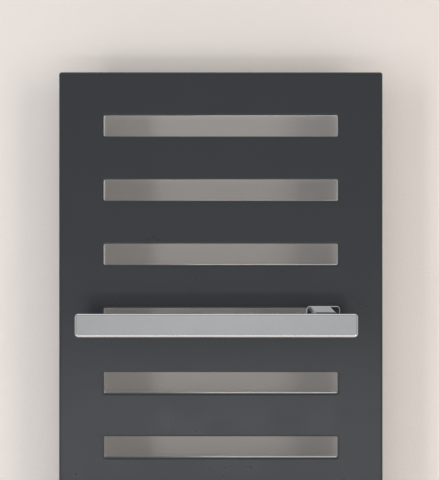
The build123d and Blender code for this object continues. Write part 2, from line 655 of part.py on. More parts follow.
def save_valve():
    """The valve block, its unions, shut-off balls and thermostat."""
    for name, x in (("supply", SUPPLY_X), ("return", RETURN_X)):
        save(f"{name}_nipple", nipple(x))
        save(f"{name}_union_nut", union_nut(x))
        save(f"{name}_shutoff_ball", shutoff_ball(x))
        save(f"{name}_shutoff_stem", shutoff_stem(x))
    save("nipple_seals", group(nipple_seal(x) for x in (RETURN_X, SUPPLY_X)))
    save("valve_body", valve_body())
    save("ball_seat_rings", seat_rings())
    save("ball_seat_retainers", seat_retainers())
    save("insert_body", insert_body())
    save("insert_spring", coil_spring(DISC_REST + 4.1, INSERT_HEX + 4, 5, 4.6, 0.8))
    save("insert_gland_ring", gland_ring())
    save("valve_pin", valve_pin())
    save("valve_disc", valve_disc())
    save("thermostat_nut", head_nut())
    save("thermostat_base", head_base())
    save("thermostat_scale_ring", scale_ring())
    save("thermostat_push_rod", push_rod())
    save("thermostat_sensor", sensor_capsule())
    save("thermostat_relief_spring", coil_spring(CAPSULE_END + 0.1, CAP_INSIDE - 0.1, 4, 8, 1.4))
    save("thermostat_handwheel", handwheel())


os.makedirs(OUT, exist_ok=True)
save_body()
save_fixings()
save_valve()
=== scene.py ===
"""A wall-hung panel towel radiator with its rail, valve block and thermostatic head.

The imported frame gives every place. This script adds the finer surfaces, the finishes, the
room, the lights and the camera. Lengths are in metres; MM turns millimetres into them.
"""

import json
import bmesh
import bpy
import numpy as np
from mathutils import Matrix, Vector


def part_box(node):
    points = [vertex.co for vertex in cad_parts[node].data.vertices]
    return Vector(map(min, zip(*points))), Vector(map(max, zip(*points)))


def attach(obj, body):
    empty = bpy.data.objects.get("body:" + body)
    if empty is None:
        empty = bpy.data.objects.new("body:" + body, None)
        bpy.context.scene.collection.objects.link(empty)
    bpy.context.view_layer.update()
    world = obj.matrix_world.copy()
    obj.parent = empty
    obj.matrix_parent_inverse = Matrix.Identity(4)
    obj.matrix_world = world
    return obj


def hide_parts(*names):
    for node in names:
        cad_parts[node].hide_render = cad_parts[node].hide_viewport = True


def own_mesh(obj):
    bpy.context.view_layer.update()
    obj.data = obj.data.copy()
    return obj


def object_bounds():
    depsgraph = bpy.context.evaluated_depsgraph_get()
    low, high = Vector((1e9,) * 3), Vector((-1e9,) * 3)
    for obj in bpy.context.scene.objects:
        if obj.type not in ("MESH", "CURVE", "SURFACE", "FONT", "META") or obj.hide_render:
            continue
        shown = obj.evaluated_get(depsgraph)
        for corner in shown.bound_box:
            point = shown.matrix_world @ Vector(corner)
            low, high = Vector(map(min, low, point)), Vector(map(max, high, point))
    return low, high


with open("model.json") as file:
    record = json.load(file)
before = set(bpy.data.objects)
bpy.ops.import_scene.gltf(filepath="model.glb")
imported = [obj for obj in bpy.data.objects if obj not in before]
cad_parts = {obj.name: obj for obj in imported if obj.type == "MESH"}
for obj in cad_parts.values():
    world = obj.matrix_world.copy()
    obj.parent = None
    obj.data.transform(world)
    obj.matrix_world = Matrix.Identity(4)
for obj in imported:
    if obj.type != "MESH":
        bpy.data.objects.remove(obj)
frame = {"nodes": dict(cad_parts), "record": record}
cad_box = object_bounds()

MM = 0.001
PI = np.pi

# Sizes that a node's box doesn't give
SHEET = 1.5 * MM
PANEL_EDGE = 5.0 * MM
SLOT_WIDTH, SLOT_HEIGHT, SLOT_CORNER = 433.5 * MM, 39 * MM, 3 * MM
LIP_DEPTH, LIP_RADIUS = 10 * MM, 3.5 * MM
FLAT_STRIP = 3 * MM  # flat border that keeps a rounded edge's shading off the large faces
HOLD = 0.4 * MM  # how near the last flat line lies to a rounded edge

# Directions that a local (across, up, out) shape is placed along
TO_ROOM = ((1, 0, 0), (0, 0, 1), (0, -1, 0))
TO_WALL = ((-1, 0, 0), (0, 0, 1), (0, 1, 0))
UPWARD = ((1, 0, 0), (0, 1, 0), (0, 0, 1))
TO_RIGHT = ((0, 1, 0), (0, 0, 1), (1, 0, 0))
DOWNWARD = ((1, 0, 0), (0, -1, 0), (0, 0, -1))


# ------------------------------------------------------------------ shapes in numpy


def outline(width, height, radius, steps=8):
    """Goes round a rounded rectangle: four quarter turns, each about its own corner centre.

    Gives every point's centre of curvature and its outward direction.
    """
    angle = (np.linspace(0, PI / 2, steps + 1) + np.arange(4)[:, None] * PI / 2).ravel()
    out = np.stack([np.cos(angle), np.sin(angle)], -1)
    sign = np.repeat([[1, 1], [-1, 1], [-1, -1], [1, -1]], steps + 1, axis=0)
    return sign * [width / 2 - radius, height / 2 - radius], out


def closed(grid):
    """Joins a grid's last column to its first."""
    return np.concatenate([grid, grid[:, :1]], axis=1)


def carried(loop, radius, profile):
    """A profile carried along an outline.

    Each point is its corner centre plus its outward direction times radius plus offset; the
    profile's second number is the height along the outline's normal.
    """
    centre, out = loop
    offset, height = np.asarray(profile, float).T
    flat = centre + out * np.maximum(radius + offset, 0)[:, None, None]
    return closed(np.dstack([flat, np.broadcast_to(height[:, None], flat.shape[:2])]))


def spine_cap(rim, half, steps=2):
    """Closes a flat end with straight lines from its rim to a spine along its middle."""
    spine = rim.copy()
    spine[:, 1] = 0
    spine[:, 0] = np.clip(rim[:, 0], -half, half)
    share = np.linspace(0, 1, steps + 1)[:, None, None]
    return rim + (spine - rim) * share


def quarter(steps=8):
    """Sine and one minus cosine over a quarter turn."""
    turn = np.linspace(0, PI / 2, steps + 1)
    return np.stack([np.sin(turn), 1 - np.cos(turn)], -1)


def eased_bar(width, height, length, corner, ease, steps=8):
    """A rounded rectangle carried from a flat end, round an eased edge, along and back.

    The near end is at height 0 and faces down; the far end is at height length.
    """
    near = quarter(steps) * ease + [-ease, 0]
    far = (quarter(steps) * [ease, -ease] + [-ease, length])[::-1]
    side = [[0, ease + HOLD], [0, length - ease - HOLD]]
    profile = [[near[0, 0] - HOLD, 0], *near, *side, *far, [far[-1, 0] - HOLD, length]]
    wall = carried(outline(width, height, corner, steps), corner, profile)
    half = max(width - height, 0) / 2
    return [wall, spine_cap(wall[0], half), spine_cap(wall[-1], half)]


def turned(profile, sides=64, shape=None):
    """A profile of (radius, height) pairs carried round the height axis.

    shape(angle, radius, height) may change the radius, for flutes and threads.
    """
    radius, height = np.asarray(profile, float).T[:, :, None]
    angle = np.linspace(0, 2 * PI, sides + 1)[None, :]
    radius = radius + 0 * angle
    if shape:
        radius = shape(angle, radius, height)
    return np.dstack([radius * np.cos(angle), radius * np.sin(angle), height + 0 * angle])


def softened(profile, ease=0.15):
    """A profile with a short chamfer at every inner corner, so that its edges catch light.

    Each corner is swapped for two points, ease along each of its two straight runs.
    """
    points = np.asarray(profile, float)
    before, corner, after = points[:-2], points[1:-1], points[2:]
    back, ahead = before - corner, after - corner
    room_back = np.linalg.norm(back, axis=1, keepdims=True)
    room_ahead = np.linalg.norm(ahead, axis=1, keepdims=True)
    cut = np.minimum(ease, 0.4 * np.minimum(room_back, room_ahead))
    pair = np.stack([corner + back / room_back * cut, corner + ahead / room_ahead * cut], 1)
    return np.concatenate([points[:1], pair.reshape(-1, 2), points[-1:]])


def threaded(pitch, depth, start, end, inner):
    """A shape for turned(): a screw thread between two heights, outside the inner radius.

    The radius drops by depth times a blunted triangle wave of height over pitch less the
    share of a turn, faded in and out over one pitch at the ends.
    """

    def shape(angle, radius, height):
        wave = np.abs(2 * ((height / pitch - angle / (2 * PI)) % 1) - 1)
        fade = np.clip((height - start) / pitch, 0, 1) * np.clip((end - height) / pitch, 0, 1)
        return radius - (radius > inner) * depth * np.clip(1.3 * wave - 0.15, 0, 1) * fade

    return shape


def fluted(count, depth, power, start, end, inner, run_out):
    """A shape for turned(): round grooves along the height, outside the inner radius.

    The radius drops by depth times a raised cosine of count times the angle, taken to a
    power, and fades in and out over run_out by half a cosine.
    """

    def shape(angle, radius, height):
        groove = (0.5 + 0.5 * np.cos(count * angle)) ** power
        near = np.clip(np.minimum(height - start, end - height) / run_out, 0, 1)
        return radius - (radius > inner) * depth * groove * (0.5 - 0.5 * np.cos(PI * near))

    return shape


def loop_path(width, height, corner, spacing=0.8 * MM):
    """A rounded rectangle as evenly spaced points: its corner points joined by length."""
    centre, out = outline(width, height, corner)
    points = centre + out * corner
    points = np.concatenate([points, points[:1]])
    reach = np.concatenate([[0], np.cumsum(np.linalg.norm(np.diff(points, axis=0), axis=1))])
    along = np.linspace(0, reach[-1], int(reach[-1] / spacing) + 1)
    return np.stack([np.interp(along, reach, points[:, i]) for i in (0, 1)] + [0 * along], -1)


def ring_path(width):
    """A circle as a rounded rectangle whose flats are 0.02 mm long."""
    return loop_path(width, width, width / 2 - 0.01 * MM)


def line_path(start, end, spacing=0.8 * MM):
    """Evenly spaced points from start to end."""
    start, end = np.array(start, float), np.array(end, float)
    share = np.linspace(0, 1, int(np.linalg.norm(end - start) / spacing) + 1)[:, None]
    return start + (end - start) * share


def weld_bead(path, radius, flat_axis, ripple=2.4 * MM):
    """A round bead carried along a flat path, with a swelling at every ripple length.

    The radius is multiplied by one plus a tenth of the rectified sine of the length run. An
    open bead is drawn in at both ends by a quarter circle.
    """
    run = np.concatenate([[0], np.cumsum(np.linalg.norm(np.diff(path, axis=0), axis=1))])
    ahead = np.gradient(path, axis=0)
    looped = np.allclose(path[0], path[-1])
    if looped:
        ahead[0] = ahead[-1] = path[1] - path[-2]
    across = np.cross(ahead / np.linalg.norm(ahead, axis=1, keepdims=True), flat_axis)
    thick = radius * (1 + 0.1 * np.abs(np.sin(PI * run / ripple)))
    if looped:
        thick[-1] = thick[0]
    else:
        near = np.clip(np.minimum(run, run[-1] - run) / radius, 0, 1)
        thick *= np.sqrt(near * (2 - near))
    angle = np.linspace(0, 2 * PI, 9)[None, :, None]
    around = across[:, None] * np.cos(angle) + np.array(flat_axis, float) * np.sin(angle)
    return path[:, None] + around * thick[:, None, None]


def placed(grids, origin, axes):
    """Moves local grids into the frame: origin plus each coordinate times its own axis."""
    return [grid @ np.array(axes, float) + np.array(origin, float) for grid in grids]


def quads(rows, columns):
    """Corner numbers of the faces between a grid's neighbouring points."""
    number = np.arange(rows * columns).reshape(rows, columns)
    corners = [number[:-1, :-1], number[1:, :-1], number[1:, 1:], number[:-1, 1:]]
    return np.stack(corners, -1).reshape(-1, 4)


def piece(name, grids, finish, body, stands_for=(), facing=None, soft_angle=35):
    """Joins grids into one mesh and hangs it on its body.

    facing is the way that the largest face of an open shell must point.
    """
    sizes = [grid.shape[0] * grid.shape[1] for grid in grids]
    starts = np.concatenate([[0], np.cumsum(sizes)[:-1]])
    faces = np.concatenate([quads(*g.shape[:2]) + s for g, s in zip(grids, starts)])
    mesh = bpy.data.meshes.new(name)
    points = np.concatenate([grid.reshape(-1, 3) for grid in grids])
    mesh.from_pydata(points.tolist(), [], faces.tolist())
    merged = bmesh.new()
    merged.from_mesh(mesh)
    bmesh.ops.remove_doubles(merged, verts=merged.verts, dist=2e-6)
    bmesh.ops.dissolve_degenerate(merged, dist=1e-6, edges=merged.edges)
    bmesh.ops.recalc_face_normals(merged, faces=merged.faces)
    if facing is not None:
        merged.faces.ensure_lookup_table()
        largest = max(merged.faces, key=lambda face: face.calc_area())
        if largest.normal.dot(Vector(facing)) < 0:
            bmesh.ops.reverse_faces(merged, faces=merged.faces)
    merged.to_mesh(mesh)
    merged.free()
    mesh.shade_smooth()
    mesh.set_sharp_from_angle(angle=np.radians(soft_angle))
    mesh.materials.append(finish)
    made = bpy.data.objects.new(name, mesh)
    bpy.context.scene.collection.objects.link(made)
    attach(made, body)
    if stands_for:
        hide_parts(*stands_for)
    return made


def middle(node):
    """The centre of a node's box."""
    low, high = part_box(node)
    return np.array((low + high) / 2)


def size(node):
    """The three sides of a node's box."""
    low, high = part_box(node)
    return np.array(high - low)


# ------------------------------------------------------------------------ finishes


def linear(hex_colour):
    """A screen colour as linear light: the power 2.4 curve with its straight foot."""
    value = np.array([int(hex_colour[i : i + 2], 16) for i in (1, 3, 5)]) / 255
    light = np.where(value <= 0.04045, value / 12.92, ((value + 0.055) / 1.055) ** 2.4)
    return (*light.tolist(), 1.0)


def add(tree, kind, inputs=(), **settings):
    """Adds a node; settings go on it, and inputs are values or links for its sockets."""
    made = tree.nodes.new("ShaderNode" + kind)
    for key, value in settings.items():
        setattr(made, key, value)
    for key, value in dict(inputs).items():
        if isinstance(value, bpy.types.NodeSocket):
            tree.links.new(value, made.inputs[key])
        else:
            made.inputs[key].default_value = value
    return made


def start(name):
    """A new material with its tree, its shader and its object coordinates."""
    material = bpy.data.materials.new(name)
    material.use_nodes = True
    tree = material.node_tree
    shader = tree.nodes["Principled BSDF"]
    return material, tree, shader, add(tree, "TexCoord").outputs["Object"]


RINGS_PER_WAVE = 0.314  # a wave pattern of this scale has one ring for each unit of length


def mottled(
    name, light_hex, dark_hex, patch_mm, rough, grain_mm, grain_height_mm, feed=None, **constants
):
    """A finish with three layers: broad colour patches, uneven gloss and a fine grain.

    rough is the lowest and highest roughness. feed gives the axis, spacing and depth of a
    lathe tool's rings. constants are the shader's own sockets.
    """
    material, tree, shader, place = start(name)
    patches = add(
        tree,
        "TexNoise",
        {"Vector": place, "Scale": 1 / (patch_mm * MM), "Detail": 4.0, "Roughness": 0.6},
    )
    colour = add(
        tree,
        "Mix",
        {"Factor": patches.outputs["Fac"], 6: linear(dark_hex), 7: linear(light_hex)},
        data_type="RGBA",
    )
    spread = {"From Min": 0.3, "From Max": 0.7, "To Min": rough[0], "To Max": rough[1]}
    gloss = add(tree, "MapRange", {"Value": patches.outputs["Fac"], **spread})
    grain = add(
        tree,
        "TexNoise",
        {"Vector": place, "Scale": 1 / (grain_mm * MM), "Detail": 2.0, "Roughness": 0.5},
    )
    relief = add(
        tree,
        "Bump",
        {"Height": grain.outputs["Fac"], "Distance": grain_height_mm * MM, "Strength": 1.0},
    )
    if feed:
        axis, spacing_mm, depth_mm = feed
        scale = RINGS_PER_WAVE / (spacing_mm * MM)
        rings = add(
            tree,
            "TexWave",
            {"Vector": place, "Scale": scale, "Distortion": 0.4, "Detail": 1.0},
            bands_direction=axis,
        )
        under = relief.outputs["Normal"]
        relief = add(
            tree,
            "Bump",
            {"Height": rings.outputs["Fac"], "Distance": depth_mm * MM, "Normal": under},
        )
    tree.links.new(colour.outputs[2], shader.inputs["Base Color"])
    tree.links.new(gloss.outputs["Result"], shader.inputs["Roughness"])
    tree.links.new(relief.outputs["Normal"], shader.inputs["Normal"])
    for key, value in constants.items():
        shader.inputs[key.replace("_", " ")].default_value = value
    return material


# The real grain of every finish but chrome is 0.05 to 0.3 mm, which is too fine to show, so
# each one is drawn coarser, at the grain size that its call gives.

# Anthracite polyester powder coat, sprayed and baked: satin, with a faint orange peel, drawn
# at 1.4 mm.
powder_coat = mottled(
    "anthracite_powder_coat_baked", "#2c3034", "#282c30", 60, (0.27, 0.35), 1.4, 0.04
)
# Bright nickel-chrome plate on buffed brass: mirror-like, with a very slow buffing wave.
chrome_plate = mottled(
    "chrome_plate_buffed", "#e2e2e3", "#d6d7d9", 45, (0.035, 0.075), 18, 0.012, Metallic=1.0
)
# Matt nickel plate on forged brass, tumbled before plating: softer and greyer than chrome.
nickel_plate = mottled(
    "nickel_plate_on_forged_brass", "#cfccc6", "#bebab3", 7, (0.16, 0.26), 0.9, 0.02, Metallic=1.0
)
# Free-cutting brass, turned and left bare: warm, slightly dull where it has been handled.
turned_brass = mottled(
    "brass_turned", "#dcc081", "#c7a661", 6, (0.22, 0.38), 0.5, 0.012, Metallic=1.0
)
# Bright zinc on mild steel, barrel plated: cool grey and faintly cloudy.
zinc_plate = mottled(
    "zinc_plate_barrel", "#b9bdc1", "#9ea3a8", 5, (0.28, 0.45), 0.6, 0.015, Metallic=1.0
)
# Zinc-plated free-cutting steel, turned: the tool's feed shows as fine rings. The real feed
# is 0.15 mm a turn; it is drawn at 0.6 mm.
turned_steel = mottled(
    "zinc_plate_on_turned_steel",
    "#b4b8bc",
    "#9aa0a5",
    5,
    (0.26, 0.4),
    0.6,
    0.01,
    feed=("Y", 0.6, 0.02),
    Metallic=1.0,
)
# Spring steel wire, drawn: darker and smoother than plate.
spring_wire = mottled(
    "spring_steel_drawn", "#8c8d90", "#737578", 4, (0.25, 0.35), 0.4, 0.008, Metallic=1.0
)
# EPDM rubber, moulded: near black and matt.
moulded_rubber = mottled("epdm_rubber_moulded", "#1c1c1d", "#141415", 4, (0.7, 0.85), 0.5, 0.02)
# PTFE, turned: waxy white.
turned_ptfe = mottled("ptfe_turned", "#f0f0ec", "#e3e3de", 4, (0.35, 0.5), 0.5, 0.01)
# Glass-filled nylon, moulded against a spark-eroded tool: dark with a fine even grain.
moulded_nylon = mottled("nylon_black_moulded", "#2a2b2d", "#202123", 8, (0.5, 0.62), 0.7, 0.03)
# ABS, moulded in a satin tool: clean white with a slight cream cast and soft gloss.
moulded_abs = mottled(
    "abs_white_moulded", "#eeeeea", "#e6e6e1", 20, (0.3, 0.4), 0.8, 0.012, Subsurface_Weight=0.05
)
# Printing ink on the grip: dark grey, thin and dry.
printed_ink = mottled("pad_printed_ink", "#3b3d40", "#303235", 3, (0.5, 0.65), 0.3, 0.01)

FINISH_OF_SLOT = {
    "radiator_paint": powder_coat,
    "chrome": chrome_plate,
    "brass": turned_brass,
    "zinc_steel": zinc_plate,
    "spring_steel": spring_wire,
    "rubber": moulded_rubber,
    "ptfe": turned_ptfe,
    "black_plastic": moulded_nylon,
    "white_plastic": moulded_abs,
}
for part in frame["record"]["subparts"]:
    node_mesh = frame["nodes"][part["node"]].data
    node_mesh.materials.clear()
    node_mesh.materials.append(FINISH_OF_SLOT[part["material_slot"]])


# --------------------------------------------------------------------- front panel


def slot_heights():
    """Centre height of every slot, from the record's stated openings."""
    boxes = {o["name"]: o["box_m"] for o in frame["record"]["physics"]["openings"]}
    names = sorted(name for name in boxes if name.startswith("slot_"))
    return [(boxes[name][0][2] + boxes[name][1][2]) / 2 for name in names]


def hole_cell(width, height, radius, place, low, high, steps=8):
    """The flat ring between a hole and its own rectangle of the plate.

    Each outline point's partner lies where its direction, stretched to a square, meets the
    rectangle; the ring runs straight between the two.
    """
    centre, out = outline(width, height, radius, steps)
    centre = centre + place
    inner = centre + out * radius
    square = out / np.abs(out).max(-1, keepdims=True)
    square = np.where(np.abs(np.abs(square) - 1) < 1e-9, np.sign(square), square)
    reach = np.where(out >= 0, np.array(high) - centre, centre - np.array(low))
    outer = centre + square * reach
    share = np.linspace(0, 1, 3)[:, None, None]
    ring = inner + (outer - inner) * share
    return closed(np.dstack([ring, np.zeros(ring.shape[:2])])), outer


def plate_rim(border, half_width, half_height, profile, steps=8):
    """A profile carried round a plate's edge, with mitred strips and ball corners.

    Every side uses the border points already on it. A corner is repeated while its outward
    direction turns a quarter. The profile gives strip width, outward offset and height.
    """
    places, outs, mitres = [], [], []
    for turn in range(4):
        out = np.round([np.cos(turn * PI / 2), np.sin(turn * PI / 2)])
        along = np.array([-out[1], out[0]])
        reach = np.abs(out @ [half_width, half_height])
        on_side = border[np.abs(border @ out - reach) < 1e-6]
        steps_along = np.unique(np.round(on_side @ along, 7))
        side = out * reach + along * steps_along[:, None]
        side_mitre = np.repeat([out], len(side), axis=0)
        side_mitre[0], side_mitre[-1] = out - along, out + along
        angle = turn * PI / 2 + np.linspace(0, PI / 2, steps + 1)[1:-1]
        places += [side, np.repeat(side[-1:], steps - 1, axis=0)]
        outs += [np.repeat([out], len(side), axis=0), np.stack([np.cos(angle), np.sin(angle)], -1)]
        mitres += [side_mitre, np.repeat([out + along], steps - 1, axis=0)]
    place, out, mitre = (np.concatenate(part) for part in (places, outs, mitres))
    strip, offset, height = np.asarray(profile, float).T[:, :, None, None]
    flat = place + mitre * strip + out * offset
    return closed(np.dstack([flat, np.broadcast_to(height[:, :, 0], flat.shape[:2])]))


def front_panel():
    """The folded sheet: flat rings round the slots, rolled lips and a rounded outer edge.

    It is built as its outer face alone; Solidify gives the sheet its thickness.
    """
    low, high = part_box("front_panel")
    half_width = (high.x - low.x) / 2 - PANEL_EDGE - FLAT_STRIP
    half_height = (high.z - low.z) / 2 - PANEL_EDGE - FLAT_STRIP
    heights = slot_heights()
    between = [(a + b) / 2 for a, b in zip(heights, heights[1:])]
    tops, feet = [half_height, *between], [*between, -half_height]
    grow = LIP_RADIUS + FLAT_STRIP
    arc = quarter()
    lip = [
        [grow, 0],
        [LIP_RADIUS + HOLD, 0],
        *(arc * [-LIP_RADIUS, -LIP_RADIUS] + [LIP_RADIUS, 0]),
        [0, -LIP_RADIUS - HOLD],
        [0, -LIP_DEPTH],
    ]
    grids, border = [], []
    for middle_z, top, foot in zip(heights, tops, feet):
        hole = (SLOT_WIDTH + 2 * grow, SLOT_HEIGHT + 2 * grow, SLOT_CORNER + grow)
        ring, outer = hole_cell(*hole, (0, middle_z), (-half_width, foot), (half_width, top))
        loop = outline(SLOT_WIDTH, SLOT_HEIGHT, SLOT_CORNER)
        rolled = carried((loop[0] + [0, middle_z], loop[1]), SLOT_CORNER, lip)
        grids += [ring, rolled]
        border.append(outer)
    depth = high.y - low.y
    rim = [
        [0, 0, 0],
        [FLAT_STRIP - HOLD, 0, 0],
        *np.insert(arc * [PANEL_EDGE, -PANEL_EDGE], 0, FLAT_STRIP, axis=1),
        [FLAT_STRIP, PANEL_EDGE, -PANEL_EDGE - HOLD],
        [FLAT_STRIP, PANEL_EDGE, -depth],
    ]
    grids.append(plate_rim(np.concatenate(border), half_width, half_height, rim))
    grids = placed(grids, (0, low.y, (low.z + high.z) / 2), TO_ROOM)
    made = piece(
        "front_panel_sheet",
        grids,
        powder_coat,
        "radiator",
        ["front_panel"],
        facing=(0, -1, 0),
    )
    sheet = made.modifiers.new("sheet", "SOLIDIFY")
    sheet.thickness, sheet.offset, sheet.use_even_offset = SHEET, -1, True


# ---------------------------------------------------------------------- towel rail

RAIL_CORNER, RAIL_EASE = 7 * MM, 4 * MM


def towel_rail():
    """The flat rail with eased edges."""
    width, depth, height = size("towel_rail")
    x, y, z = middle("towel_rail")
    bar = eased_bar(width, height, depth, RAIL_CORNER, RAIL_EASE, steps=10)
    grids = placed(bar, (x, y + depth / 2, z), TO_ROOM)
    piece("towel_rail_bar", grids, chrome_plate, "radiator", ["towel_rail"])


front_panel()
towel_rail()


# ------------------------------------------------------------------ welded water way

ALONG_Y, UPRIGHT = (0, 1, 0), (0, 0, 1)
BEAD = 1.3 * MM
PIPE_CORNER = 4 * MM
TUBE_END_EASE, PIPE_END_EASE = 0.8 * MM, 0.2 * MM
BUSH_WIDTH, BUSH_SEAM = 27 * MM, 3 * MM  # the seam's height above the collector
PIN_WIDTH = 16 * MM


def flat_tubes():
    """Ten flat-oval tubes, closed at their ends by a slightly eased plate."""
    for node in sorted(name for name in frame["nodes"] if name.startswith("flat_tube_")):
        length, depth, height = size(node)
        x, y, z = middle(node)
        bar = eased_bar(depth, height, length, depth / 2, TUBE_END_EASE, steps=10)
        grids = placed(bar, (x - length / 2, y, z), TO_RIGHT)
        piece(node + "_wall", grids, powder_coat, "radiator", [node])


def collectors():
    """The two upright tubes and the foot tube, with rounded corners."""
    for node in ("collector_left", "collector_right"):
        width, depth, height = size(node)
        x, y, z = middle(node)
        bar = eased_bar(width, depth, height, PIPE_CORNER, PIPE_END_EASE)
        grids = placed(bar, (x, y, z - height / 2), UPWARD)
        piece(node + "_wall", grids, powder_coat, "radiator", [node])
    length, depth, height = size("foot_manifold")
    x, y, z = middle("foot_manifold")
    bar = eased_bar(depth, height, length, PIPE_CORNER, PIPE_END_EASE)
    grids = placed(bar, (x - length / 2, y, z), TO_RIGHT)
    node = "foot_manifold"
    piece(node + "_wall", grids, powder_coat, "radiator", [node])


def tube_welds():
    """A bead up each side of a collector wherever a flat tube lies on it."""
    inset, sunk, short = 2 * MM, 0.2 * MM, 6 * MM
    beads = []
    for node in sorted(name for name in frame["nodes"] if name.startswith("flat_tube_")):
        low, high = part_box(node)
        for side in ("collector_left", "collector_right"):
            near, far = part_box(side)
            for x in (near.x + inset, far.x - inset):
                foot = (x, near.y - sunk, low.z + short)
                head = (x, near.y - sunk, high.z - short)
                beads.append(weld_bead(line_path(foot, head), 2 * BEAD, ALONG_Y))
    piece("tube_weld_beads", beads, powder_coat, "radiator", soft_angle=60)


def joint_welds():
    """Beads round the caps, the bushes, the sockets, the foot tube's ends and the wall pins."""
    beads = []
    bush = weld_bead(ring_path(BUSH_WIDTH), BEAD, UPRIGHT)
    for node in ("collector_left", "collector_right"):
        low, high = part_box(node)
        x, y = middle(node)[:2]
        cap = weld_bead(loop_path(*size(node)[:2], PIPE_CORNER), 0.8 * BEAD, UPRIGHT)
        beads += [cap + [x, y, low.z], cap + [x, y, high.z]]
        beads.append(bush + [x, y, high.z + BUSH_SEAM])
    for node in ("supply_socket", "return_socket"):
        x, y = middle(node)[:2]
        beads.append(bush + [x, y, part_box(node)[1].z])
    low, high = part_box("foot_manifold")
    y, z = middle("foot_manifold")[1:]
    end = weld_bead(loop_path(*size("foot_manifold")[1:], PIPE_CORNER), BEAD, UPRIGHT)
    for level in (low.x, high.x):
        beads += placed([end], (level, y, z), TO_RIGHT)
    pin = weld_bead(ring_path(PIN_WIDTH), BEAD, UPRIGHT)
    for x, z in fixing_places():
        beads += placed([pin], (x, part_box("bracket_pins")[0].y, z), TO_WALL)
    piece("joint_weld_beads", beads, powder_coat, "radiator", soft_angle=60)


# ---------------------------------------------------------------------- wall fixings

SLEEVE_FOOT_RADIUS = 18 * MM
SET_SCREW_Y = -25 * MM  # the middle of the pins' necks


def fixing_places():
    """Where the four fixings stand: a sleeve foot's radius in from each corner of their box."""
    low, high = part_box("wall_sleeves")
    reach = SLEEVE_FOOT_RADIUS
    sides = (low.x + reach, high.x - reach)
    levels = (low.z + reach, high.z - reach)
    return [(x, z) for x in sides for z in levels]


def wall_fixings():
    """Turned cups, necked pins and socket set screws, four of each.

    Their profiles give radius and height in millimetres. The height is from the wall, or from
    the pin's axis for a screw.
    """
    cup = [
        [4.25, 0], [17.6, 0], [18, 0.4], [18, 2.6], [17.6, 3], [14, 3], [13.3, 3.3], [13, 4],
        [13, 37.4], [12.4, 38], [8.5, 38], [8.1, 37.6], [8.1, 5], [4.25, 5], [4.25, 0],
    ]
    low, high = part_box("bracket_pins")
    length = (high.y - low.y) / MM
    start = -high.y / MM
    pin = [
        [0, start], [7, start], [8, start + 1], [8, start + 8], [6, start + 8], [6, start + 18],
        [8, start + 18], [8, start + length], [0, start + length],
    ]
    screw = [[0, 8], [3, 8], [3, 12.9], [2.6, 13.3], [1.5, 13.3], [1.5, 11], [0, 10.6]]
    cups, pins, screws = [], [], []
    for x, z in fixing_places():
        cups += placed([turned(softened(cup) * MM, 72)], (x, 0, z), TO_ROOM)
        pins += placed([turned(softened(pin) * MM, 56)], (x, 0, z), TO_ROOM)
        screws += placed([turned(softened(screw) * MM, 36)], (x, SET_SCREW_Y, z), DOWNWARD)
    piece("wall_sleeve_cups", cups, turned_steel, "radiator", ["wall_sleeves"])
    piece("bracket_pin_bars", pins, powder_coat, "radiator", ["bracket_pins"])
    piece("sleeve_set_screws", screws, zinc_plate, "radiator", ["sleeve_grub_screws"])


def plug_rings():
    """The flat seals under the two top plugs, from a profile in millimetres."""
    low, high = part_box("plug_seals")
    reach = 13 * MM
    shape = [[10.5, 0], [12.7, 0], [13, 0.3], [13, 0.7], [12.7, 1], [10.5, 1], [10.5, 0]]
    y = (low.y + high.y) / 2
    rings = []
    for x in (low.x + reach, high.x - reach):
        rings += placed([turned(np.array(shape) * MM, 72)], (x, y, low.z), UPWARD)
    piece("plug_seal_rings", rings, moulded_rubber, "radiator", ["plug_seals"])


flat_tubes()
collectors()
tube_welds()
joint_welds()
wall_fixings()
plug_rings()


# ------------------------------------------------------------------------ valve block

STUB_LENGTH, TAIL_LENGTH = 14 * MM, 14.5 * MM
PIPE_THREAD, THREAD_DEPTH = 1.814 * MM, 0.85 * MM  # a G 3/4 thread
STEM_RECESS = 6.6 * MM


